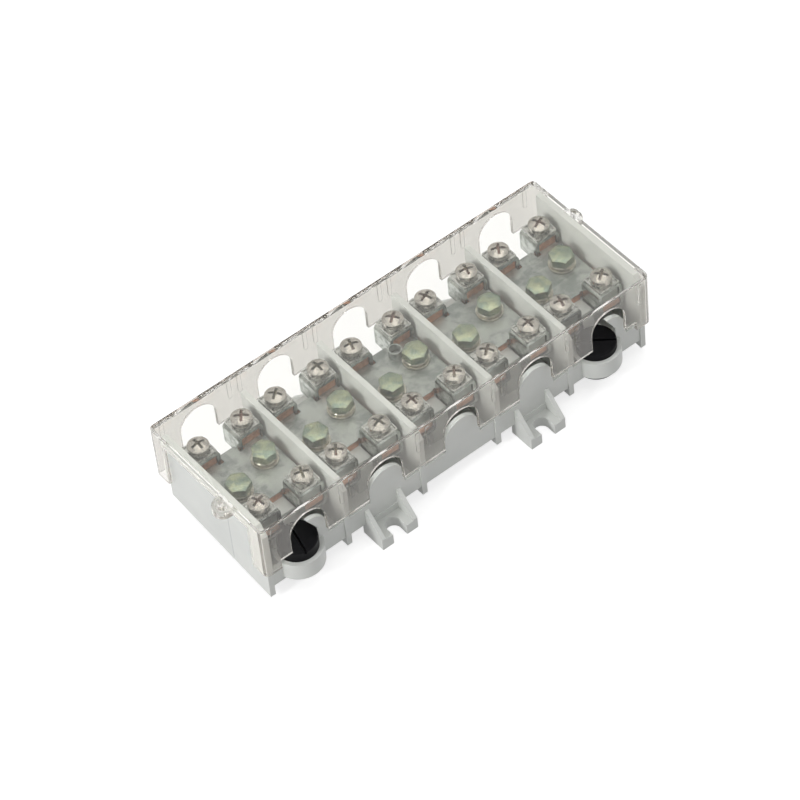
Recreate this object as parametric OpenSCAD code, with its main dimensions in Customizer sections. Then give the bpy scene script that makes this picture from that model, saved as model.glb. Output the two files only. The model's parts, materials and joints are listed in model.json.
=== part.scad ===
// Five-pole barrier terminal strip with a clear lift-off cover.
// X runs along the strip, +Y to the rear, +Z up. The origin is on the mounting
// plane, at the centre of the four foot slots.

/* [Strip] */
// Distance between the middles of two neighbouring poles
pole_pitch = 53; // [53:0.5:58]
// Thickness of the partitions and end walls
wall_t = 3.4; // [2.4:0.2:4]
// Front face of the partitions, measured forward of the middle
front_y = 47.2; // [46.6:0.2:50]
// Rear edge of the partitions, measured behind the middle
rear_y = 41; // [38:0.5:44]
// Height of the lower edges of the partitions above the mounting plane
wall_low = 4; // [1:0.5:8]
// Height of the top edges of the partitions
partition_top = 55.5; // [52:0.5:58]

/* [Base] */
// Height of the underside of the floor
floor_low = 11.8; // [9:0.2:14]
// Thickness of the floor
floor_t = 3; // [2:0.2:5]
// Thickness of the front wall
front_wall_t = 2.8; // [2:0.2:4]
// How far the front wall stands back from the partitions' front faces
front_wall_back = 0.8; // [0:0.1:2]
// Height of the front wall between its round-topped tongues
front_wall_top = 24.2; // [20:0.2:30]
// Height of the front wall's lower edge, a little below the floor
front_wall_low = 10.2; // [8:0.2:11.6]
// Height of the tops of the tongues
tongue_top = 43.5; // [40:0.5:46]
// Radius of the tongues' round tops
tongue_r = 12; // [10:0.5:14]
// Offset of each tongue to the right of its pole's middle
tongue_off = 2.5; // [0:0.5:4]
// Chamfer at the partitions' top front corners: how far back
corner_back = 4.2; // [1:0.2:6]
// Chamfer at the partitions' top front corners: how far down
corner_down = 5.5; // [1:0.5:8]
// Half width of the moulded pedestal that carries each busbar
pedestal_half_w = 5.6; // [4:0.2:5.8]
// Length of the pedestal in front of the middle
pedestal_front = 29.2; // [24:0.2:32]
// Length of the pedestal behind the middle
pedestal_rear = 22; // [16:0.5:23]
// Radius of the pillars around the hexagon bolts
pillar_r = 7.4; // [6.5:0.1:7.6]
// Radial clearance of a hexagon bolt in its pillar
pillar_clear = 0.8; // [0.4:0.1:1.2]
// Wall left around the hollow under each pedestal
pedestal_wall = 2.4; // [1.6:0.2:3]

/* [Mounting feet] */
// Width of a mounting foot
foot_w = 24.6; // [20:0.2:28]
// How far a foot reaches out from the partitions' ends
foot_reach = 13.1; // [11.5:0.1:16]
// Thickness of a foot's plate
foot_t = 7.3; // [5:0.1:9]
// Width of the open screw slot in a foot
slot_w = 9.4; // [6:0.2:10]
// Depth of the screw slot from the foot's open end
slot_depth = 10.8; // [8:0.2:11]
// Sideways offset of the feet: front ones to the left, rear ones to the right
foot_off = 1.8; // [0:0.2:3]
// Thickness of the gussets at a foot's sides
gusset_t = 2.6; // [1.6:0.2:3.6]
// Height at which the gussets meet the strip
gusset_top = 21.5; // [16:0.5:24]
// Height of the gussets' outer ends above the foot's plate
gusset_end = 1; // [0.5:0.1:2]
// Thickness of the web that carries a foot under the floor
foot_web_t = 4; // [3:0.5:6]

/* [Collars and plugs] */
// Bore radius of the two collars
collar_bore_r = 12.1; // [10:0.1:12.4]
// Wall thickness of a collar
collar_wall = 2.6; // [1.8:0.1:4]
// Height of the collars' lower edges; their rims are level with the front wall's top
collar_low = 12.4; // [11.8:0.2:14]
// Distance of the collars' axes in front of the middle
collar_y = 42.2; // [42:0.1:44]
// Offset of the collars' axes to the left of their poles' middles
collar_off = 3.8; // [2:0.1:6]
// Where the cut beside a plug meets a tongue's top, right of the pole's middle
tongue_cut_x = 1.5; // [-2:0.5:4]
// Radial clearance between a plug and its collar
plug_clear = 0.05; // [0.02:0.01:0.1]
// Room above the left plug, which sits higher, in the tongue's notch
plug_room = 1.2; // [0.5:0.1:4]
// Length of a plug
plug_len = 20.7; // [18:0.1:20.9]
// Height of the left plug's lower end
left_plug_low = 10.8; // [8:0.1:11]
// Height of the right plug's lower end
right_plug_low = 8; // [6:0.1:11]
// Width of the driver slot in a plug
plug_slot_w = 1.4; // [1:0.2:3]
// Depth of the driver slot in a plug
plug_slot_deep = 2.2; // [1:0.2:3]
// Turn of the left plug's slot from the front-to-rear direction
left_slot_turn = -13; // [-90:1:90]
// Turn of the right plug's slot from the front-to-rear direction
right_slot_turn = 50; // [-90:1:90]
// Chamfer at the ends of a plug
plug_chamfer = 0.6; // [0.2:0.1:1.5]

/* [Cover] */
// Wall thickness of the clear cover
cover_wall = 2.2; // [1.6:0.1:3]
// Clearance between the cover's ends and the end walls
cover_gap = 0.3; // [0.2:0.05:0.5]
// Clearance between the cover's top and the end walls that carry it
seat_gap = 0.1; // [0.05:0.05:0.3]
// Clearance between the cover's skirts and the partitions' front faces
skirt_gap = 0.8; // [0.5:0.1:1.5]
// Room between the clamp screws' heads and the underside of the cover's top
head_room = 3.7; // [3.4:0.1:8]
// Height of the lower edges of the skirts between the cable arches
skirt_low = 31.8; // [30:0.2:36]
// Height of the lower edges of the four corner tabs
corner_low = 25.3; // [22:0.1:30]
// Length of the corner tabs along the front and rear
corner_len = 10.7; // [8:0.1:12]
// Length of the corner tabs along the ends
corner_side_len = 12.2; // [8:0.1:16]
// Depth of the skirts at the two ends
end_skirt = 5.6; // [4:0.2:9]
// Radius of the cable arches
arch_r = 12.15; // [10:0.05:13]
// Height of the cable arches' centres
arch_z = 43.6; // [42:0.1:46]
// Outer radius of the cover's corners
cover_corner_r = 3; // [2.4:0.2:4]
// How far the skirt ribs stand out
rib_out = 0.7; // [0.3:0.1:1.2]
// Width of a skirt rib
rib_w = 2.6; // [1.6:0.2:3]
// Distance of the ribs from the partition's middle plane
rib_off = 3.5; // [2:0.1:4.5]
// Height of the lower ends of the ribs
rib_low = 45; // [36:0.5:50]
// Distance of the ribs' upper ends below the cover's top face
rib_drop = 2; // [1:0.5:4]
// Radius of the end lugs
lug_r = 6.2; // [5:0.1:7]
// Radius of the raised boss on a lug
lug_boss_r = 4.4; // [3:0.1:4.8]
// Radius of the screw hole in a lug
lug_hole_r = 1.7; // [1:0.1:2.4]
// Thickness of a lug's disc
lug_t = 5; // [3:0.1:7]
// Height of the boss on a lug's disc
lug_boss_h = 3.1; // [1:0.1:4]
// How far a lug boss's top lies below the cover's top face
lug_drop = 2.2; // [1:0.1:4]
// Distance of the lugs from the middle: left one forward, right one back
lug_y = 16.5; // [0:0.5:24]

/* [Busbars] */
// Thickness of a busbar
bar_t = 5; // [3:0.5:6]
// Height of the busbars' top faces
bar_top = 41; // [40:0.2:42]
// How far a busbar's body reaches past its outer tongues
bar_margin = 1.7; // [0.4:0.1:2.5]
// Depth of the body to each side of the middle
bar_half_d = 18.2; // [16:0.2:18.6]
// Width of the middle strip that reaches past the body
strip_w = 10.8; // [8:0.2:11.4]
// Reach of the middle strip to the rear
strip_rear = 23.5; // [20:0.5:26]
// Reach of the middle strip to the front
strip_front = 19; // [18.8:0.1:20]
// Thread radius in the bar for the hexagon bolts
bolt_thread_r = 4; // [3:0.1:4.5]
// Thread radius in the bar for the clamp screws
screw_thread_r = 3; // [2.5:0.1:3.5]
// Radial clearance of a screw in its thread
thread_clear = 0.05; // [0.02:0.01:0.1]

/* [Box clamps] */
// Distance of the clamps' axes from a pole's middle, along the strip
clamp_x = 14.8; // [14.6:0.1:15.2]
// Distance of the clamps' axes from the middle, front and rear
clamp_y = 27; // [26.6:0.1:28]
// Outer width of a clamp cage
cage_w = 17; // [16:0.2:17.4]
// Depth of a clamp cage
cage_d = 15; // [13:0.2:15.4]
// Wall thickness of a clamp cage
cage_t = 2.2; // [1.6:0.1:2.6]
// Outer bend radius of a clamp cage
cage_r = 3; // [2.8:0.1:4]
// Height of the underside of the cages
cage_low = 32.6; // [31:0.1:33]
// Clearance between a cage's walls and what lies inside it
cage_clear = 0.3; // [0.2:0.05:0.5]
// Height of a pressure jaw
jaw_h = 6.4; // [5:0.1:7]
// How far a jaw stands back from its cage's open faces
jaw_back = 0.8; // [0.2:0.1:2]

/* [Screws and washers] */
// Width of a saddle washer along the strip
saddle_w = 14.4; // [12:0.2:15]
// How far a saddle washer stands back from its cage's open faces
saddle_back = 0.3; // [0.1:0.1:1]
// Thickness of a saddle washer's plate
saddle_t = 1.1; // [0.8:0.1:1.6]
// Corner radius of a saddle washer
saddle_r = 1; // [0.6:0.1:1.6]
// Height of the raised rim of a saddle washer
saddle_rim_h = 0.5; // [0.2:0.1:0.8]
// Width of the raised rim of a saddle washer
saddle_rim_w = 1; // [0.6:0.1:1.2]
// Outer radius of the spring washer under a clamp screw's head
screw_washer_r = 5.5; // [5:0.1:6]
// Thickness of that spring washer
screw_washer_t = 1.8; // [1:0.1:2.2]
// Radius of a clamp screw's pan head
pan_r = 6.2; // [5.8:0.1:7]
// Height of a clamp screw's pan head
pan_h = 4.4; // [3.6:0.1:5]
// Height of the cylindrical rim below the pan head's dome
pan_rim_h = 2.6; // [1.6:0.1:3]
// Length of a clamp screw's shank
screw_len = 16.2; // [14.4:0.2:17]
// Length of the arms of the cross recess, tip to tip
recess_len = 8.4; // [5:0.2:9]
// Width of the arms of the cross recess
recess_w = 1.6; // [1:0.1:2]
// Depth of the cross recess
recess_deep = 2.4; // [1.5:0.1:3]
// Offset of the hexagon bolts from a pole's middle, along the strip
bolt_x = 12.2; // [11.8:0.1:12.6]
// Offset of the hexagon bolts, rear one back and front one forward
bolt_y = 4.6; // [4:0.1:5]
// Size across the flats of a hexagon head
hex_af = 13; // [12:0.1:14]
// Height of a hexagon head
hex_h = 5.3; // [4:0.1:6]
// Height of the chamfer on a hexagon head
hex_chamfer = 0.8; // [0.4:0.1:1.2]
// Length of a hexagon bolt's shank
bolt_len = 16; // [14:0.5:18]
// Outer radius of the flat washer under a hexagon head
flat_r = 8; // [7.6:0.1:8.4]
// Thickness of that flat washer
flat_t = 1.6; // [1:0.1:2]
// Outer radius of the spring washer under a hexagon head
spring_r = 7; // [6.4:0.1:7.4]
// Thickness of that spring washer
spring_t = 2; // [1.4:0.1:2.4]
// Radial clearance of a washer or a jaw around its screw
hole_clear = 0.3; // [0.2:0.05:0.5]
// Gap in a split spring washer
split_gap = 1.2; // [0.6:0.1:2]

/* [Tap sleeve] */
// Outer radius of the tap sleeve on the middle pole
sleeve_r = 4.1; // [3.6:0.1:4.2]
// Bore radius of the tap sleeve
sleeve_bore_r = 3.2; // [2:0.1:3.4]
// Height of the tap sleeve above the busbar
sleeve_h = 5.3; // [3:0.1:8]
// Clearance between the tap sleeve and the flat washer beside it
sleeve_gap = 0.1; // [0.05:0.05:0.15]
// Room between the tap sleeve and the clamp cage behind it
sleeve_room = 0.3; // [0.2:0.05:0.6]

/* [Hidden] */
$fn = 64;
poles = 5;
eps = 0.01;

// Poles, partitions and feet along the strip
function pole_x(p) = (p - (poles - 1) / 2) * pole_pitch;
function collar_x(p) = pole_x(p) - collar_off;
mid_y = (front_y - rear_y) / 2;
partition_x = [for (i = [1 : poles - 1]) (i - poles / 2) * pole_pitch];
end_x = poles * pole_pitch / 2;
foot_poles = [1, poles - 2];
collar_poles = [0, poles - 1];

// Cover sizes that follow the base
cover_half_l = end_x + wall_t / 2 + cover_gap + cover_wall;
cover_half_d = front_y + skirt_gap + cover_wall;
floor_top = floor_low + floor_t;

// Heights of the stack on a busbar, from the bar up
bar_low = bar_top - bar_t;
cage_top = bar_top + jaw_h + cage_t;
saddle_top = cage_top + saddle_t;
screw_seat = saddle_top + screw_washer_t;
cover_under = screw_seat + pan_h + head_room;
cover_top = cover_under + cover_wall;
end_wall_top = cover_under - seat_gap;
lug_top = cover_top - lug_drop;
lug_step = lug_top - lug_boss_h;
lug_low = lug_step - lug_t;
bolt_seat = bar_top + flat_t + spring_t;
tongue_w = cage_w - 2 * (cage_t + cage_clear);
tongue_end = clamp_y + cage_d / 2 - jaw_back;
bar_w = 2 * (clamp_x + tongue_w / 2 + bar_margin);
screw_bore_r = screw_thread_r + hole_clear;
bolt_bore_r = bolt_thread_r + hole_clear;

// Four clamps of a pole: name ending, side along the strip, side front or rear
CLAMPS = [["rl", -1, 1], ["rr", 1, 1], ["fl", -1, -1], ["fr", 1, -1]];
// Two bolts of a pole: name ending and side
BOLTS = [["rear", 1], ["front", -1]];

// Box given by its low and high corners
module block(low, high) {
    translate(low) cube(high - low);
}

// Outline in the Y-Z plane, made thick along X from x0 to x1
module plate_x(x0, x1) {
    translate([x0, 0, 0]) rotate([90, 0, 90]) linear_extrude(x1 - x0) children();
}

// Outline in the X-Z plane, made thick along Y from y0 to y1
module plate_y(y0, y1) {
    translate([0, y1, 0]) rotate([90, 0, 0]) linear_extrude(y1 - y0) children();
}

// Moves the strip so that the centre of its foot slots is the origin
module placed() {
    translate([0, mid_y, 0]) children();
}

// Rectangle with round corners, centred on the origin
module round_rect(w, d, r) {
    square([w - 2 * r, d], center = true);
    square([w, d - 2 * r], center = true);
    for (sx = [-1, 1], sy = [-1, 1])
        translate([sx * (w / 2 - r), sy * (d / 2 - r)]) circle(r);
}

// Flat ring
module ring(r_out, r_in, h) {
    difference() {
        cylinder(h = h, r = r_out);
        translate([0, 0, -eps]) cylinder(h = h + 2 * eps, r = r_in);
    }
}

// Ring with one radial gap, as a split spring washer has
module split_ring(r_out, r_in, h, turn) {
    difference() {
        ring(r_out, r_in, h);
        rotate([0, 0, turn]) translate([r_in - 1, -split_gap / 2, -eps])
            cube([r_out - r_in + 2, split_gap, h + 2 * eps]);
    }
}

// Runs its children at each clamp of pole p
module at_clamps(p) {
    for (c = CLAMPS)
        translate([pole_x(p) + c[1] * clamp_x, c[2] * clamp_y, 0]) children();
}

// Runs its children at each hexagon bolt of pole p
module at_bolts(p) {
    for (b = BOLTS)
        translate([pole_x(p) + b[1] * bolt_x, b[1] * bolt_y, 0]) children();
}

// ---- Base -------------------------------------------------------------

// One partition, its top front corner cut off
module partition_outline(top) {
    polygon([
        [-front_y, wall_low], [-front_y, top - corner_down],
        [-front_y + corner_back, top], [rear_y, top], [rear_y, wall_low],
    ]);
}

// End wall: taller, and its lower edge climbs to the floor at the rear
module end_wall_outline() {
    polygon([
        [-front_y, wall_low], [-front_y, end_wall_top - corner_down],
        [-front_y + corner_back, end_wall_top], [rear_y, end_wall_top], [rear_y, floor_low],
    ]);
}

// Outline of the front wall with a round-topped tongue in each pole
module front_wall_outline() {
    translate([-end_x, front_wall_low]) square([2 * end_x, front_wall_top - front_wall_low]);
    for (p = [0 : poles - 1])
        translate([pole_x(p) + tongue_off, 0]) {
            translate([0, tongue_top - tongue_r]) circle(tongue_r);
            translate([-tongue_r, floor_low])
                square([2 * tongue_r, tongue_top - tongue_r - floor_low]);
        }
}

// Mounting foot in front of the strip, with its slot open to the front
module foot() {
    end_y = -front_y - foot_reach;
    difference() {
        union() {
            block([-foot_w / 2, end_y, 0], [foot_w / 2, -front_y + foot_web_t, foot_t]);
            block([-foot_w / 2, -front_y, 0],
                  [foot_w / 2, -front_y + foot_web_t, floor_low + eps]);
            for (x = [-foot_w / 2, foot_w / 2 - gusset_t])
                plate_x(x, x + gusset_t) polygon([
                    [-front_y + foot_web_t, gusset_top], [-front_y, gusset_top],
                    [end_y, foot_t + gusset_end], [end_y, foot_t - 1], [-front_y + foot_web_t, foot_t - 1],
                ]);
        }
        translate([0, end_y + slot_depth - slot_w / 2, -eps]) {
            cylinder(h = gusset_top, r = slot_w / 2);
            block([-slot_w / 2, -foot_reach, 0], [slot_w / 2, 0, gusset_top]);
        }
    }
}

// Pedestal under a busbar: a narrow hollow spine and two bolt pillars
module pedestal() {
    difference() {
        union() {
            block([-pedestal_half_w, -pedestal_front, floor_low],
                  [pedestal_half_w, pedestal_rear, bar_low]);
            for (b = BOLTS)
                translate([b[1] * bolt_x, b[1] * bolt_y, floor_low])
                    cylinder(h = bar_low - floor_low, r = pillar_r);
        }
        block([-pedestal_half_w + pedestal_wall, -pedestal_front + pedestal_wall, floor_low - 1],
              [pedestal_half_w - pedestal_wall, pedestal_rear - pedestal_wall,
               bar_low - pedestal_wall]);
    }
}

// Ring around a plug, half in front of the front wall and half behind it
module collar() {
    translate([0, -collar_y, collar_low])
        cylinder(h = front_wall_top - collar_low, r = collar_bore_r + collar_wall);
}

// Bore of a collar, with its notch through the front wall and the tongue above the plug
module collar_bore() {
    wall_y = -front_y + front_wall_back;
    wall_rear = wall_y + front_wall_t;
    bore_top = max(front_wall_top + eps, left_plug_low + plug_len + plug_room);
    notch_x = sqrt(collar_bore_r * collar_bore_r - (wall_rear + collar_y) * (wall_rear + collar_y));
    translate([0, -collar_y, 0]) cylinder(h = bore_top, r = collar_bore_r);
    // Over the plug the tongue is cut off along a slant
    plate_y(wall_y - 1, wall_rear + 1) polygon([
        [-collar_bore_r, bore_top - eps], [notch_x, bore_top - eps],
        [tongue_cut_x + collar_off, tongue_top + eps],
        [-collar_bore_r, tongue_top + eps],
    ]);
}

// Clearance hole in a pedestal's pillar, open at the top
module pillar_bore() {
    translate([0, 0, floor_top + pedestal_wall])
        cylinder(h = bar_low, r = bolt_thread_r + pillar_clear);
}

module base() {
    color("gainsboro") difference() {
        union() {
            for (x = partition_x)
                plate_x(x - wall_t / 2, x + wall_t / 2) partition_outline(partition_top);
            for (s = [-1, 1])
                plate_x(s * end_x - wall_t / 2, s * end_x + wall_t / 2) end_wall_outline();
            block([-end_x, -front_y + front_wall_back, floor_low], [end_x, rear_y, floor_top]);
            plate_y(-front_y + front_wall_back, -front_y + front_wall_back + front_wall_t)
                front_wall_outline();
            for (p = [0 : poles - 1]) translate([pole_x(p), 0, 0]) pedestal();
            for (p = foot_poles) {
                translate([pole_x(p) - foot_off, 0, 0]) foot();
                // The rear feet start at the rear edge
                translate([pole_x(p) + foot_off, rear_y - front_y, 0])
                    rotate([0, 0, 180]) foot();
                block([pole_x(p) + foot_off - foot_w / 2, rear_y - foot_web_t, floor_low],
                      [pole_x(p) + foot_off + foot_w / 2, rear_y, gusset_top]);
            }
            for (p = collar_poles) translate([collar_x(p), 0, 0]) collar();
        }
        for (p = collar_poles) translate([collar_x(p), 0, 0]) collar_bore();
        for (p = [0 : poles - 1]) at_bolts(p) pillar_bore();
    }
}

// ---- Cover ------------------------------------------------------------

// Plan outline of the cover, grown or shrunk by its walls
module cover_plan(inset) {
    round_rect(2 * (cover_half_l - inset), 2 * (cover_half_d - inset), cover_corner_r - inset);
}

// What is cut from below: the two long skirts keep only their corner tabs full length
module skirt_cuts() {
    reach = cover_half_d + rib_out + 1;
    tab_x = cover_half_l - corner_len;
    tab_y = cover_half_d - corner_side_len;
    block([-tab_x, -reach, 0], [tab_x, reach, skirt_low]);
    block([-cover_half_l - 1, -tab_y, 0], [cover_half_l + 1, tab_y, cover_top - end_skirt]);
    for (p = [0 : poles - 1])
        translate([pole_x(p), 0, 0]) plate_y(-reach, reach) {
            translate([0, arch_z]) circle(arch_r);
            translate([-arch_r, 0]) square([2 * arch_r, arch_z]);
        }
}

// Raised rib with a round lower end on a long skirt
module skirt_rib(x, side) {
    y0 = side * (cover_half_d - cover_wall / 2);
    y1 = side * (cover_half_d + rib_out);
    translate([x, 0, 0]) plate_y(min(y0, y1), max(y0, y1)) {
        translate([0, rib_low + rib_w / 2]) circle(rib_w / 2);
        translate([-rib_w / 2, rib_low + rib_w / 2])
            square([rib_w, cover_top - rib_drop - rib_low - rib_w / 2]);
    }
}

// Screw lug at an end of the cover: disc, boss and pad on the end skirt
module lug() {
    translate([0, 0, lug_low]) cylinder(h = lug_step - lug_low, r = lug_r);
    translate([0, 0, lug_step - eps]) cylinder(h = lug_top - lug_step, r = lug_boss_r);
    block([-cover_wall, -lug_r, lug_low], [0, lug_r, cover_top - end_skirt + 1]);
}

module cover() {
    rib_x = [for (x = partition_x, s = [-1, 1]) x + s * rib_off,
             for (s = [-1, 1]) s * (end_x - rib_off)];
    color([0.9, 0.92, 0.92, 0.35]) difference() {
        union() {
            difference() {
                translate([0, 0, corner_low])
                    linear_extrude(cover_top - corner_low) cover_plan(0);
                translate([0, 0, corner_low - 1])
                    linear_extrude(cover_under - corner_low + 1) cover_plan(cover_wall);
                skirt_cuts();
            }
            for (x = rib_x, s = [-1, 1]) skirt_rib(x, s);
            for (s = [-1, 1])
                difference() {
                    translate([s * cover_half_l, s * lug_y, 0]) rotate([0, 0, s < 0 ? 180 : 0])
                        lug();
                    block([-cover_half_l + cover_wall, -cover_half_d, 0],
                          [cover_half_l - cover_wall, cover_half_d, cover_top]);
                }
        }
        for (s = [-1, 1])
            translate([s * (cover_half_l + lug_boss_r / 4), s * lug_y, 0])
                cylinder(h = cover_top + 1, r = lug_hole_r);
    }
}

// ---- Plugs ------------------------------------------------------------

// Upright rod from Z 0 with a chamfer at both ends
module chamfered_rod(h, r, chamfer) {
    rotate_extrude() polygon([
        [0, 0], [r - chamfer, 0], [r, chamfer], [r, h - chamfer], [r - chamfer, h], [0, h],
    ]);
}

module plug(low, turn) {
    color([0.05, 0.05, 0.06]) translate([0, -collar_y, low]) difference() {
        chamfered_rod(plug_len, collar_bore_r - plug_clear, plug_chamfer);
        rotate([0, 0, turn])
            block([-plug_slot_w / 2, -collar_bore_r - 1, plug_len - plug_slot_deep],
                  [plug_slot_w / 2, collar_bore_r + 1, plug_len + 1]);
    }
}

module plug_left() {
    translate([collar_x(collar_poles[0]), 0, 0]) plug(left_plug_low, left_slot_turn);
}

module plug_right() {
    translate([collar_x(collar_poles[1]), 0, 0]) plug(right_plug_low, right_slot_turn);
}

// ---- Current-carrying parts -------------------------------------------

// Tin-plated bar with a tongue into each box clamp
module busbar(p) {
    color("silver") difference() {
        union() {
            translate([pole_x(p), 0, 0]) {
                block([-bar_w / 2, -bar_half_d, bar_low], [bar_w / 2, bar_half_d, bar_top]);
                block([-strip_w / 2, -strip_front, bar_low],
                      [strip_w / 2, strip_rear, bar_top]);
                for (c = CLAMPS)
                    block([c[1] * clamp_x - tongue_w / 2, min(0, c[2] * tongue_end), bar_low],
                          [c[1] * clamp_x + tongue_w / 2, max(0, c[2] * tongue_end), bar_top]);
            }
        }
        at_clamps(p) translate([0, 0, bar_low - 1]) cylinder(h = bar_t + 2, r = screw_thread_r);
        at_bolts(p) translate([0, 0, bar_low - 1]) cylinder(h = bar_t + 2, r = bolt_thread_r);
    }
}

// Bent steel cages of one pole, open front and rear
module clamp_cages(p) {
    height = cage_top - cage_low;
    color("darkgray") at_clamps(p) difference() {
        plate_y(-cage_d / 2, cage_d / 2) translate([0, cage_low + height / 2]) difference() {
            round_rect(cage_w, height, cage_r);
            round_rect(cage_w - 2 * cage_t, height - 2 * cage_t, cage_r - cage_t);
        }
        translate([0, 0, cage_top - 2 * cage_t]) cylinder(h = 3 * cage_t, r = screw_bore_r);
    }
}

// Copper pressure jaws of one pole, one in each cage
module clamp_jaws(p) {
    depth = cage_d - 2 * jaw_back;
    bend = cage_r - cage_t;
    color([0.72, 0.43, 0.3]) at_clamps(p) difference() {
        plate_y(-depth / 2, depth / 2) translate([0, bar_top]) {
            // Square below, with the cage's inner bend at the two top edges
            translate([-tongue_w / 2, 0]) square([tongue_w, jaw_h - bend]);
            translate([0, jaw_h / 2]) round_rect(tongue_w, jaw_h, bend);
        }
        translate([0, 0, bar_top - 1]) cylinder(h = jaw_h + 2, r = screw_bore_r);
    }
}

// Tubular tap sleeve on the middle pole's busbar, between the rear bolt and a clamp cage
module tap_sleeve() {
    reach = flat_r + sleeve_gap + sleeve_r;
    dy = clamp_y - cage_d / 2 - sleeve_room - sleeve_r - bolt_y;
    dx = sqrt(max(0, reach * reach - dy * dy));
    color("silver") translate([pole_x((poles - 1) / 2) + bolt_x - dx, bolt_y + dy, bar_top])
        ring(sleeve_r, sleeve_bore_r, sleeve_h);
}

// ---- Screws and washers -----------------------------------------------

module saddle_washer() {
    saddle_d = cage_d - 2 * saddle_back;
    difference() {
        translate([0, 0, cage_top])
            linear_extrude(saddle_t + saddle_rim_h) round_rect(saddle_w, saddle_d, saddle_r);
        translate([0, 0, saddle_top])
            linear_extrude(saddle_rim_h + 1)
                square([saddle_w - 2 * saddle_rim_w, saddle_d - 2 * saddle_rim_w], center = true);
        translate([0, 0, cage_top - 1]) cylinder(h = saddle_t + 2, r = screw_bore_r);
    }
}

module saddle_washers() {
    color("silver") for (p = [0 : poles - 1]) at_clamps(p) saddle_washer();
}

module clamp_spring_washers() {
    color("gainsboro") for (p = [0 : poles - 1], i = [0 : 3])
        translate([pole_x(p) + CLAMPS[i][1] * clamp_x, CLAMPS[i][2] * clamp_y, saddle_top])
            split_ring(screw_washer_r, screw_bore_r, screw_washer_t, 70 * p + 110 * i);
}

module bolt_flat_washers() {
    color([0.78, 0.78, 0.62]) for (p = [0 : poles - 1]) at_bolts(p)
        translate([0, 0, bar_top]) ring(flat_r, bolt_bore_r, flat_t);
}

module bolt_spring_washers() {
    color([0.78, 0.78, 0.62]) for (p = [0 : poles - 1], i = [0 : 1])
        translate([pole_x(p) + BOLTS[i][1] * bolt_x, BOLTS[i][1] * bolt_y, bar_top + flat_t])
            split_ring(spring_r, bolt_bore_r, spring_t, 300 + 75 * p + 140 * i);
}

// Pan-head clamp screw with a cross recess; the turn differs from screw to screw
module clamp_screw(p, i) {
    dome = pan_h - pan_rim_h;
    dome_r = (pan_r * pan_r + dome * dome) / (2 * dome);
    color("silver")
        translate([pole_x(p) + CLAMPS[i][1] * clamp_x, CLAMPS[i][2] * clamp_y, screw_seat])
            rotate([0, 0, 37 * p + 53 * i]) {
                difference() {
                    union() {
                        cylinder(h = pan_rim_h, r = pan_r);
                        intersection() {
                            translate([0, 0, pan_h - dome_r]) sphere(dome_r);
                            translate([0, 0, pan_rim_h - eps]) cylinder(h = pan_h, r = pan_r);
                        }
                    }
                    for (a = [0, 90]) rotate([0, 0, a])
                        block([-recess_len / 2, -recess_w / 2, pan_h - recess_deep],
                              [recess_len / 2, recess_w / 2, pan_h + 1]);
                }
                translate([0, 0, -screw_len])
                    cylinder(h = screw_len + eps, r = screw_thread_r - thread_clear);
            }
}

// Hexagon-head bolt, chamfered at the top
module hex_bolt(p, i) {
    across = hex_af / cos(30);
    color([0.72, 0.75, 0.6])
        translate([pole_x(p) + BOLTS[i][1] * bolt_x, BOLTS[i][1] * bolt_y, bolt_seat])
            rotate([0, 0, 17 * p + 25 * i]) {
                intersection() {
                    cylinder(h = hex_h, d = across, $fn = 6);
                    union() {
                        cylinder(h = hex_h - hex_chamfer + eps, d = across + 1);
                        translate([0, 0, hex_h - hex_chamfer])
                            cylinder(h = hex_chamfer, d1 = across + 0.6, d2 = hex_af - 0.6);
                    }
                }
                translate([0, 0, -bolt_len])
                    cylinder(h = bolt_len + eps, r = bolt_thread_r - thread_clear);
            }
}

placed() base();
placed() cover();
placed() plug_left();
placed() plug_right();
placed() saddle_washers();
placed() clamp_spring_washers();
placed() bolt_flat_washers();
placed() bolt_spring_washers();
placed() tap_sleeve();
for (p = [0 : poles - 1]) {
    placed() busbar(p);
    placed() clamp_cages(p);
    placed() clamp_jaws(p);
    for (i = [0 : 3])
        placed() clamp_screw(p, i);
    for (i = [0 : 1])
        placed() hex_bolt(p, i);
}
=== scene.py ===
# %% [markdown]
# # A five-pole barrier terminal strip under a clear cover
#
# The real object is a moulded base that carries five plated copper bars. Each bar has four steel box
# clamps with pan-head screws and two hexagon bolts, and a clear lid with cable arches covers them all.
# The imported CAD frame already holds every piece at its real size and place, so this lesson is about looks:
# it softens the moulded and bent edges, twists the spring washers, and gives each finish its own nodes.

# %% Load the frame
import json
import math
import bpy
import bmesh
import numpy as np
from mathutils import Matrix, Vector


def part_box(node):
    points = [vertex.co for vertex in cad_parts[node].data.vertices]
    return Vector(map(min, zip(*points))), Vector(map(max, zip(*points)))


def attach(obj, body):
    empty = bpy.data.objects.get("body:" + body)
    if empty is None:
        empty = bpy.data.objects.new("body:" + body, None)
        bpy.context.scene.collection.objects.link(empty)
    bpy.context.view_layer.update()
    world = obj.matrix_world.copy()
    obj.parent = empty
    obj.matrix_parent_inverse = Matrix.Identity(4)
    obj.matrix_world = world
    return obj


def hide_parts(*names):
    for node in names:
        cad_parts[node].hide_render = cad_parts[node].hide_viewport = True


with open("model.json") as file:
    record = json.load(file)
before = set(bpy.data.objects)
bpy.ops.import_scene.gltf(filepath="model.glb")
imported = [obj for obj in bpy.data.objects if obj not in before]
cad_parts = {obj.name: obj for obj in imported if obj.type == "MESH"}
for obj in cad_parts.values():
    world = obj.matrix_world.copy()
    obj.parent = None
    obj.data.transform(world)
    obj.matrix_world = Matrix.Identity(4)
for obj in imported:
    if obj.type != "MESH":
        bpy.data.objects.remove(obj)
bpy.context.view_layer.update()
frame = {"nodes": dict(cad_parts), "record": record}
NODES = frame["nodes"]
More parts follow.
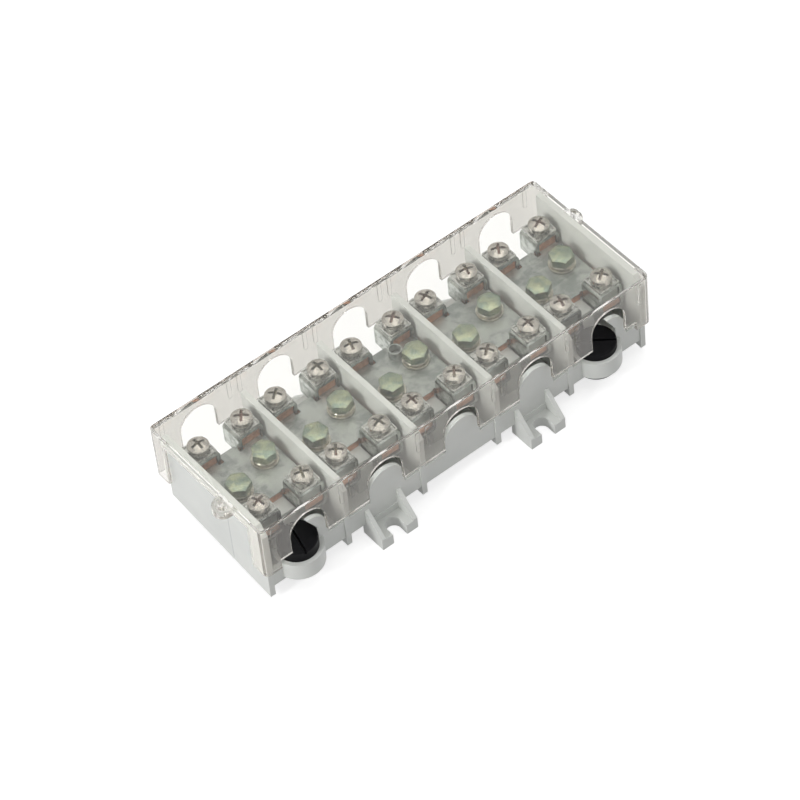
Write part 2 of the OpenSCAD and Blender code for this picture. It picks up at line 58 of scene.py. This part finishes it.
BODY_OF = {n: b for b, ns in frame["record"]["behaviour"]["bodies"].items() for n in ns}
SLOT_OF = {s["node"]: s["material_slot"] for s in frame["record"]["subparts"]}

# %% [markdown]
# ## The camera
#
# A product picture of a long strip is taken with a long lens from well above, so that the far end is hardly
# smaller than the near one. The camera is set by its place and its three own axes, written as a matrix,
# because that keeps the small roll that a hand-set tripod gives.

# %% Camera
CAMERA_AT = (-0.79007, -1.17132, 1.65758)
CAMERA_RIGHT = (0.77740, -0.62450, -0.07522)
CAMERA_UP = (0.51313, 0.56047, 0.65005)
CAMERA_FORWARD = (0.36379, 0.54394, -0.75616)
cam_data = bpy.data.cameras.new("lens_175")
cam_data.sensor_width = 36.0
cam_data.lens = 174.97
cam_data.clip_end = 50
camera = bpy.data.objects.new("camera", cam_data)
bpy.context.scene.collection.objects.link(camera)
turn = Matrix((CAMERA_RIGHT, CAMERA_UP, [-c for c in CAMERA_FORWARD])).transposed()
camera.matrix_world = Matrix.Translation(CAMERA_AT) @ turn.to_4x4()
bpy.context.scene.camera = camera
print("camera", round(camera.location.length, 3), "m from the origin")

# %% [markdown]
# ## Shader maths as Python
#
# A material is a graph of nodes. Written by hand it is long and hard to read, so one small class wraps an
# output socket: adding or multiplying two of them adds the Math node that does it. Every other node comes
# from one method, `node`, which sets the node's own settings first and then its inputs.

# %% Helpers for nodes
class Sig:
    """An output socket that knows arithmetic: a + b, a - b, a * b, a > b, a < b, and clamped()."""

    def __init__(self, tree, socket):
        self.tree, self.socket = tree, socket

    def math(self, op, *others, clamp=False):
        n = self.tree.nodes.new("ShaderNodeMath")
        n.operation, n.use_clamp = op, clamp
        for inp, v in zip(n.inputs, (self, *others)):
            if isinstance(v, Sig):
                self.tree.links.new(v.socket, inp)
            else:
                inp.default_value = v
        return Sig(self.tree, n.outputs[0])

    def __add__(self, o): return self.math("ADD", o)
    def __radd__(self, o): return self.math("ADD", o)
    def __sub__(self, o): return self.math("SUBTRACT", o)
    def __mul__(self, o): return self.math("MULTIPLY", o)
    def __gt__(self, o): return self.math("GREATER_THAN", o)
    def __lt__(self, o): return self.math("LESS_THAN", o)
    def clamped(self): return self.math("ADD", 0.0, clamp=True)


class Graph:
    """A node tree being written: `node` adds any node, and `out` links a shader to the tree's output."""

    def __init__(self, owner, output):
        owner.use_nodes = True
        self.tree = owner.node_tree
        self.tree.nodes.clear()
        self.output = self.tree.nodes.new(output)

    def node(self, kind, out=0, settings=None, **inputs):
        n = self.tree.nodes.new("ShaderNode" + kind)
        for k, v in (settings or {}).items():
            if k == "stops":
                ramp = n.color_ramp.elements
                while len(ramp) < len(v):
                    ramp.new(0.5)
                for e, (at, colour) in zip(ramp, v):
                    e.position, e.color = at, (*colour, 1)
            else:
                setattr(n, k, v)
        for k, v in inputs.items():
            s = n.inputs[int(k[1:])] if k[0] == "i" and k[1:].isdigit() else n.inputs[k.replace("_", " ")]
            if isinstance(v, Sig):
                self.tree.links.new(v.socket, s)
            elif s.type == "RGBA" and len(v) == 3:
                s.default_value = (*v, 1)
            else:
                s.default_value = v
        return Sig(self.tree, n.outputs[out])

    def out(self, shader):
        self.tree.links.new(shader.socket, self.output.inputs[0])

    def seen_directly(self):
        """1 for rays from the camera, a mirror or clear plastic, and 0 for rays that light the object."""
        camera_ray, glossy_ray, transmission_ray = [self.node("LightPath", out=k) for k in (0, 3, 6)]
        return (camera_ray + glossy_ray + transmission_ray).clamped()


class Finish(Graph):
    """A material being written, with the few patterns that the finishes share."""

    def __init__(self, name):
        self.mat = bpy.data.materials.new(name)
        super().__init__(self.mat, "ShaderNodeOutputMaterial")

    def place(self):
        """Object coordinates in millimetres."""
        at = self.node("TexCoord", out=3)
        return self.node("VectorMath", settings={"operation": "SCALE"}, i0=at, Scale=1000.0)

    def axes(self):
        """The three object coordinates in millimetres, each as a number."""
        at = self.place()
        return [self.node("SeparateXYZ", out=k, Vector=at) for k in range(3)]

    def noise(self, per_mm, detail=2.0, rough=0.5, stretch=(1, 1, 1)):
        """Fractal noise from 0 to 1 with about per_mm bumps in a millimetre."""
        at = self.node("VectorMath", settings={"operation": "MULTIPLY"}, i0=self.place(), i1=stretch)
        return self.node("TexNoise", Vector=at, Scale=per_mm, Detail=detail, Roughness=rough)

    def blend(self, mask, a, b):
        """Colour a where mask is 0 and b where it is 1."""
        return self.node("Mix", out=2, settings={"data_type": "RGBA"}, i0=mask, i6=a, i7=b)

    def ramp(self, value, *stops):
        return self.node("ValToRGB", settings={"stops": stops}, Fac=value)

    def steps(self, value, low, high):
        """0 on the low side and 1 on the high side, with a smooth slope between; low may be the larger."""
        return self.node("MapRange", settings={"interpolation_type": "SMOOTHSTEP"},
                         Value=value, From_Min=low, From_Max=high)

    def bump(self, height, depth_mm):
        return self.node("Bump", Height=height, Strength=1.0, Distance=depth_mm / 1000)

    def surface(self, **inputs):
        self.out(self.node("BsdfPrincipled", **inputs))


print("node helpers ready")

# %% [markdown]
# ## The moulded base
#
# The base is injection-moulded in a pale, slightly cool grey plastic. Such a plastic is never one flat
# colour: its gloss wanders a little where the mould was polished more or less, and a very fine grain
# breaks up the highlights. Two noises do that, one slow for the gloss and one fine for the grain. Each end
# wall has a faint vertical line where its face steps back a little; the shade of that step is painted as a
# narrow dark band, picked out by the object coordinates.

# %% Finish: pale moulded plastic
END_WALL_X = 134.0
STEP_Y = -11.9
STEP_SHADE_HALF_WIDTH = 0.35
STEP_LOW, STEP_HIGH = 9.0, 43.0


def moulded_plastic():
    f = Finish("pale_moulded_plastic")
    x, y, z = f.axes()
    slow = f.noise(0.035, detail=3)
    fine = f.noise(2.6, detail=2)
    colour = f.ramp(slow, (0.30, (0.605, 0.620, 0.598)), (0.70, (0.675, 0.686, 0.660)))
    on_end_wall = x.math("ABSOLUTE") > END_WALL_X
    in_band = (y - STEP_Y).math("ABSOLUTE") < STEP_SHADE_HALF_WIDTH
    # Painted shade: a narrow dark band along the small step in each end wall
    step_shade = on_end_wall * in_band * (z > STEP_LOW) * (z < STEP_HIGH)
    colour = f.blend(step_shade * 0.8, colour, (0.40, 0.42, 0.42))
    f.surface(Base_Color=colour, Roughness=0.34 + slow * 0.10, IOR=1.53, Normal=f.bump(fine, 0.02))
    return f.mat


# %% [markdown]
# ## The clear cover
#
# The cover is clear polycarbonate. Light goes through it, bends a little, and is caught in its edges, which
# therefore look warmer than the flat walls. One looks through the top plate nearly straight, but through the
# skirts at a slant, so they look like a pale grey film. Three bands of colour carry that: the top plate, the
# skirts below it, and the rear top edge, where a brownish band is painted shade for the light lost in the
# thick rim. The skirts also carry a light haze, a small share of plain diffuse. The shader is a real
# refracting one. Only its shadow is changed: a path tracer can't find the light that comes through clear
# plastic, so for shadow rays the cover is a nearly clear filter.

# %% Finish: clear polycarbonate
def clear_plastic():
    f = Finish("clear_polycarbonate")
    _, y, z = f.axes()
    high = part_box("cover")[1] * 1000
    skirt = f.steps(z, high.z - 1.2, high.z - 2.6)
    # Painted shade: a brownish band along the rear top edge for the light lost in the thick rim
    rear_edge_shade = f.steps(y, high.y - 2.6, high.y - 1.6) * f.steps(z, high.z - 3.0, high.z - 0.8)
    tint = f.blend(skirt, (0.930, 0.935, 0.915), (0.88, 0.865, 0.835))
    tint = f.blend(rear_edge_shade, tint, (0.50, 0.42, 0.36))
    clear = f.node("BsdfPrincipled", Base_Color=tint, Roughness=0.02, IOR=1.42, Specular_IOR_Level=0.4,
                   Transmission_Weight=1.0)
    haze = f.node("BsdfDiffuse", Color=(0.50, 0.47, 0.43))
    glass = f.node("MixShader", i0=skirt * 0.12, i1=clear, i2=haze)
    see = f.node("BsdfTransparent", Color=(0.93, 0.94, 0.93))
    is_shadow = f.node("LightPath", out=1)
    f.out(f.node("MixShader", i0=is_shadow, i1=glass, i2=see))
    return f.mat


# %% [markdown]
# ## Plated metals
#
# Five plated finishes differ only in colour, gloss and how blotchy they are, so one function writes them
# all: a slow blotch between two colours, fine pits as a bump, dark specks where handling marked the plating,
# and a roughness that follows the blotch. The cross recess of a screw is coloured dark brown, the more so
# the deeper a corner lies. The meshes carry a number, `recess`, that says how deep in it each corner lies.

# %% Finish: plated metals
def plated(name, colour_a, colour_b, blotch, gloss, pits, specks=0.0, recess=False):
    f = Finish(name)
    slow = f.noise(blotch, detail=4, rough=0.6)
    fine = f.noise(3.0, detail=3)
    colour = f.blend(f.steps(slow, 0.36, 0.64), colour_a, colour_b)
    if recess:
        deep = f.node("Attribute", out=2, settings={"attribute_name": "recess"})
        recess_brown = f.blend(f.steps(f.noise(0.05), 0.42, 0.58), (0.22, 0.10, 0.06), (0.16, 0.14, 0.07))
        colour = f.blend(f.steps(deep, 0.15, 0.75) * 0.85, colour, recess_brown)
    if specks:
        spot = f.steps(f.noise(0.9, detail=5, rough=0.7), 0.66, 0.74)
        colour = f.blend(spot * specks, colour, (0.16, 0.15, 0.14))
    f.surface(Base_Color=colour, Metallic=1.0, Roughness=gloss + slow * 0.16 + fine * 0.08,
              Normal=f.bump(fine, pits))
    return f.mat


# %% [markdown]
# ## Black plugs and bare copper
#
# The plugs are moulded in black with a soft gloss. The jaws and the cut ends of the bars are bare copper,
# which darkens in patches as it takes up oxygen.

# %% Finish: black plastic and copper
PLATED_END = 6.5
RIB_PITCH = 1.3
BAR_SKIN = 0.4


def black_plastic():
    f = Finish("black_moulded_plastic")
    fine = f.noise(1.8, detail=3)
    f.surface(Base_Color=f.blend(f.noise(0.15), (0.003, 0.003, 0.004), (0.007, 0.007, 0.008)),
              Roughness=0.34 + fine * 0.12, Specular_IOR_Level=0.08, Normal=f.bump(fine, 0.015))
    return f.mat


def copper_colour(f):
    """Patches from dark oxide to bright copper, with fine streaks from the shear."""
    slow = f.noise(0.25, detail=4, rough=0.65)
    streak = f.noise(0.6, detail=3, stretch=(1, 1, 6))
    colour = f.ramp(slow * 0.7 + streak * 0.3, (0.30, (0.22, 0.10, 0.06)), (0.50, (0.62, 0.28, 0.15)),
                    (0.72, (0.84, 0.47, 0.29)))
    return colour, slow, streak


def bare_copper():
    """The jaws: bare copper towards the middle of the strip, plated at the wire's side, with ribs there drawn
    as stripes of painted shade.
    """
    f = Finish("bare_copper")
    _, y, z = f.axes()
    low, high = [c * 1000 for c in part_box("clamp_jaws_1")]
    mid = (low.y + high.y) / 2
    outer = (y - mid).math("ABSOLUTE") > (high.y - mid) - PLATED_END
    colour, slow, streak = copper_colour(f)
    # Painted shade: dark stripes stand for the shade in the grooves between the ribs
    rib_shade = f.steps((z * (2 * math.pi / RIB_PITCH)).math("SINE"), -0.2, 0.6) * outer
    colour = f.blend(outer, colour, (0.36, 0.38, 0.35))
    colour = f.blend(rib_shade * 0.6, colour, (0.20, 0.21, 0.19))
    f.surface(Base_Color=colour, Metallic=0.85, Roughness=0.28 + slow * 0.2, Normal=f.bump(streak, 0.03))
    return f.mat


def tinned_bar():
    """Dull tin on the flat top, scratched along the bar, and dark bare copper on the sheared sides."""
    f = Finish("tinned_copper_bar")
    z = f.axes()[2]
    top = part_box("busbar_1")[1].z * 1000
    slow = f.noise(0.09, detail=4, rough=0.6)
    fine = f.noise(3.0, detail=3)
    colour = f.blend(f.steps(slow, 0.38, 0.62), (0.25, 0.275, 0.26), (0.46, 0.48, 0.455))
    spot = f.steps(f.noise(0.8, detail=5, rough=0.7), 0.60, 0.70)
    scratch = f.steps(f.noise(0.5, detail=3, stretch=(0.25, 5, 1)), 0.62, 0.66)
    colour = f.blend(spot * 0.6, colour, (0.15, 0.15, 0.145))
    colour = f.blend(scratch * 0.4, colour, (0.60, 0.61, 0.59))
    copper, _, _ = copper_colour(f)
    colour = f.blend((z < top - BAR_SKIN) * 0.9, colour, copper)
    f.surface(Base_Color=colour, Metallic=0.9, Roughness=0.36 + slow * 0.16 + fine * 0.08,
              Normal=f.bump(fine + scratch * 0.5, 0.03))
    return f.mat


# %% Write the finishes
FINISH = {
    "housing": moulded_plastic(),
    "clear_cover": clear_plastic(),
    "black_plug": black_plastic(),
    "copper": bare_copper(),
    "tinned_copper": tinned_bar(),
    "zinc_steel": plated("zinc_plated_cage", (0.25, 0.275, 0.25), (0.55, 0.58, 0.545),
                         blotch=0.22, gloss=0.10, pits=0.03, specks=0.4),
    "washer_steel": plated("zinc_plated_washer", (0.42, 0.43, 0.41), (0.62, 0.62, 0.59),
                           blotch=0.4, gloss=0.16, pits=0.04),
    "screw_nickel": plated("screw_plating", (0.42, 0.40, 0.36), (0.60, 0.57, 0.52),
                           blotch=0.25, gloss=0.06, pits=0.015, recess=True),
    "bolt_zinc": plated("green_passivated_bolt", (0.24, 0.31, 0.25), (0.42, 0.45, 0.30),
                        blotch=0.16, gloss=0.12, pits=0.03),
    "bolt_washer": plated("passivated_washer", (0.42, 0.41, 0.35), (0.60, 0.57, 0.49),
                          blotch=0.3, gloss=0.12, pits=0.02),
}
print("finishes:", ", ".join(m.name for m in FINISH.values()))

# %% [markdown]
# ## Soft edges on the moulded and pressed pieces
#
# No real edge is sharp: a mould leaves a small radius, and a press or a lathe leaves one too. Those radii
# catch the light and are what makes a picture of an object look solid. The CAD solids are right in shape, so
# each is copied, its loose triangles are merged into a joined mesh, and a bevel of a few tenths of a
# millimetre is laid along every edge that is sharper than 35 degrees. The copy then stands for the node.

# %% Soften a CAD node
SHARP = math.radians(35.0)
FLAT = math.radians(0.5)
SAME_PLACE = 2e-6


def joined_copy(node):
    """The node's triangles with doubles merged, flat faces joined, and edges sharper than SHARP marked."""
    mesh = NODES[node].data.copy()
    mesh.name = node + "_soft"
    bm = bmesh.new()
    bm.from_mesh(mesh)
    bmesh.ops.remove_doubles(bm, verts=bm.verts, dist=SAME_PLACE)
    bmesh.ops.dissolve_limit(bm, angle_limit=FLAT, verts=bm.verts, edges=bm.edges)
    for face in bm.faces:
        face.smooth = True
    for edge in bm.edges:
        edge.smooth = len(edge.link_faces) == 2 and edge.calc_face_angle(0) < SHARP
    bm.to_mesh(mesh)
    bm.free()
    return mesh


def soften(node, width_mm):
    """A bevelled copy of a CAD node that replaces it, rides on its body and wears its finish."""
    mesh = joined_copy(node)
    obj = bpy.data.objects.new(node + "_soft", mesh)
    bpy.context.scene.collection.objects.link(obj)
    bevel = obj.modifiers.new("edge radius", "BEVEL")
    bevel.width = width_mm / 1000
    bevel.segments = 2
    bevel.limit_method = "ANGLE"
    bevel.angle_limit = SHARP
    bevel.use_clamp_overlap = True
    bevel.harden_normals = True
    mesh.materials.clear()
    mesh.materials.append(FINISH[SLOT_OF[node]])
    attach(obj, BODY_OF[node])
    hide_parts(node)
    return obj


HEAD_RISE = 0.0018
RECESS_SHARE = 0.75
RECESS_REACH = 0.0035
DARK_DEPTH = 0.002


def mark_recess(obj, node):
    """Give each corner the number recess, its depth below the head's round top over DARK_DEPTH, from 0 to 1.
    The top at distance r is z = crown - R + sqrt(R^2 - r^2). For a head of radius a that rises by h over its
    rim, R = (a^2 + h^2) / (2 h)."""
    low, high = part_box(node)
    count = len(obj.data.vertices)
    at = np.empty(count * 3)
    obj.data.vertices.foreach_get("co", at)
    at = at.reshape(-1, 3)
    radius = (high.x - low.x) / 2
    ball = (radius ** 2 + HEAD_RISE ** 2) / (2 * HEAD_RISE)
    r = np.hypot(at[:, 0] - (low.x + high.x) / 2, at[:, 1] - (low.y + high.y) / 2)
    top = high.z - ball + np.sqrt(ball ** 2 - np.minimum(r, radius) ** 2)
    inside = (r < RECESS_SHARE * radius) & (at[:, 2] > high.z - RECESS_REACH)
    depth = np.where(inside, np.clip((top - at[:, 2]) / DARK_DEPTH, 0, 1), 0)
    obj.data.attributes.new("recess", "FLOAT", "POINT").data.foreach_set("value", depth.astype(np.float32))


EDGE_MM = {"base": 0.35, "cover": 0.4, "plug": 0.4, "busbar": 0.3, "clamp_cages": 0.25, "clamp_jaws": 0.3,
           "saddle_washers": 0.18, "bolt_flat_washers": 0.15, "tap_sleeve": 0.25, "clamp_screw": 0.25,
           "hex_bolt": 0.2}
softened = []
for node in NODES:
    width = next((w for key, w in EDGE_MM.items() if node.startswith(key)), None)
    if width is not None:
        softened.append(soften(node, width))
        if node.startswith("clamp_screw"):
            mark_recess(softened[-1], node)
print("softened", len(softened), "pieces")

# %% [markdown]
# ## Spring washers
#
# A split spring washer is a ring of square wire that makes a little under one turn, with its two ends a
# little apart in height. It is a rectangle carried along a short helix, so it is worked out as a grid: one
# direction goes round the rectangle, the other along the turn.

# %% Split washers
TURN_STEPS = 40
CORNERS = 8
HALF_GAP = 0.06
CHAMFER_SHARE = 0.14
TURN_BETWEEN = 1.3
SMOOTH_UNDER = math.radians(30.0)


def split_washer_grid(centre, low, r_in, r_out, thick, lift, start):
    """Points (TURN_STEPS, CORNERS, 3): at angle a the wire's chamfered square section lies between the radii
    r_in and r_out and stands on low + lift * (a's share of the turn)."""
    a = start + np.linspace(HALF_GAP, 2 * np.pi - HALF_GAP, TURN_STEPS)
    c = CHAMFER_SHARE * thick
    rr = np.array([r_in, r_in, r_in + c, r_out - c, r_out, r_out, r_out - c, r_in + c])
    zz = np.array([c, thick - c, thick, thick, thick - c, c, 0, 0])
    share = np.linspace(0, 1, TURN_STEPS)[:, None]
    x = centre[0] + rr * np.cos(a)[:, None]
    y = centre[1] + rr * np.sin(a)[:, None]
    z = low + zz + lift * share
    return np.stack([x, y, np.broadcast_to(z, x.shape)], -1)


def tube_faces(rows, cols, first):
    """Quads of a closed tube of `rows` sections with `cols` corners each, and its two end caps. Corner j of
    section i is point first + i * cols + j."""
    i, j = np.meshgrid(np.arange(rows - 1), np.arange(cols), indexing="ij")
    k = (j + 1) % cols
    here, there = first + i * cols, first + (i + 1) * cols
    quads = np.stack([here + j, there + j, there + k, here + k], -1).reshape(-1, 4)
    end = first + rows * cols
    caps = [list(range(first, first + cols)), list(range(end - 1, end - cols - 1, -1))]
    return quads.tolist() + caps


def surface_piece(name, verts, faces, node):
    """A new mesh object from points and faces, with outward normals, that stands for a CAD node."""
    mesh = bpy.data.meshes.new(name)
    mesh.from_pydata(verts, [], faces)
    bm = bmesh.new()
    bm.from_mesh(mesh)
    bmesh.ops.recalc_face_normals(bm, faces=bm.faces)
    for face in bm.faces:
        face.smooth = True
    for edge in bm.edges:
        edge.smooth = edge.calc_face_angle(0) < SMOOTH_UNDER
    bm.to_mesh(mesh)
    bm.free()
    mesh.materials.append(FINISH[SLOT_OF[node]])
    obj = bpy.data.objects.new(name, mesh)
    bpy.context.scene.collection.objects.link(obj)
    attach(obj, BODY_OF[node])
    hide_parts(node)


def washer_set(name, node, centres, r_in, r_out, lift, phase):
    """All the washers of one node as a single mesh; each is turned by TURN_BETWEEN from the one before."""
    low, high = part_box(node)
    thick = high.z - low.z - lift
    verts, faces = [], []
    for k, centre in enumerate(centres):
        grid = split_washer_grid(centre, low.z, r_in, r_out, thick, lift, phase + TURN_BETWEEN * k)
        faces += tube_faces(TURN_STEPS, CORNERS, len(verts))
        verts += grid.reshape(-1, 3).tolist()
    surface_piece(name, verts, faces, node)


def centre_of(node):
    low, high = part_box(node)
    return ((low.x + high.x) / 2, (low.y + high.y) / 2)


screw_names = sorted(n for n in NODES if n.startswith("clamp_screw_"))
bolt_names = sorted(n for n in NODES if n.startswith("hex_bolt_"))
washer_set("screw_lock_washers", "clamp_spring_washers", [centre_of(n) for n in screw_names],
           r_in=0.0033, r_out=0.0055, lift=0.0003, phase=0.4)
washer_set("bolt_lock_washers", "bolt_spring_washers", [centre_of(n) for n in bolt_names],
           r_in=0.0043, r_out=0.0070, lift=0.0004, phase=5.2)
print("spring washers:", len(screw_names), "small and", len(bolt_names), "large")

# %% [markdown]
# ## Stage and light
#
# The strip stands on a white sheet in a white room. The world is white where the camera, a mirror or clear
# plastic looks at it, and a plain soft level where it lights the object. One lamp from the left gives
# the soft shadows on the partitions; a wide one overhead fills the chambers.

# %% World, floor and lamps
ROOM_LIGHT = 0.56
SHEET_SHADE = 0.50
SHEET_GLOW = 0.72
SHEET_HALF = 4.0
world = bpy.data.worlds.new("white_room")
bpy.context.scene.world = world
room = Graph(world, "ShaderNodeOutputWorld")
level = room.seen_directly() * (1.0 - ROOM_LIGHT) + ROOM_LIGHT
room.out(room.node("Background", Color=(1, 1, 1), Strength=level))


def sheet_white():
    f = Finish("white_sheet")
    base = f.node("BsdfDiffuse", Color=(SHEET_SHADE, SHEET_SHADE, SHEET_SHADE))
    glow = f.node("Emission", Color=(1, 1, 1), Strength=f.seen_directly() * SHEET_GLOW)
    f.out(f.node("AddShader", i0=base, i1=glow))
    return f.mat


floor_mesh = bpy.data.meshes.new("white_floor")
corners = [(x * SHEET_HALF, y * SHEET_HALF, 0) for x, y in ((-1, -1), (1, -1), (1, 1), (-1, 1))]
floor_mesh.from_pydata(corners, [], [(0, 1, 2, 3)])
floor_mesh.materials.append(sheet_white())
floor = bpy.data.objects.new("white_floor", floor_mesh)
bpy.context.scene.collection.objects.link(floor)


def lamp(name, at, towards, size, watts):
    data = bpy.data.lights.new(name, "AREA")
    data.shape, data.size, data.energy = "SQUARE", size, watts
    obj = bpy.data.objects.new(name, data)
    bpy.context.scene.collection.objects.link(obj)
    aim = Vector(towards) - Vector(at)
    obj.matrix_world = Matrix.Translation(at) @ aim.to_track_quat("-Z", "Y").to_matrix().to_4x4()


lamp("key_left", (-1.7, -0.12, 0.93), (0, 0, 0.03), size=0.30, watts=15)
lamp("overhead_fill", (0.2, 0.2, 2.4), (0, 0, 0), size=2.2, watts=14)
scene = bpy.context.scene
scene.view_settings.view_transform = "Standard"
# Light in a clear plate is mirrored many times between its faces before it comes out of an edge
scene.cycles.max_bounces = 32
scene.cycles.glossy_bounces = 24
scene.cycles.transmission_bounces = 32
scene.cycles.transparent_max_bounces = 24
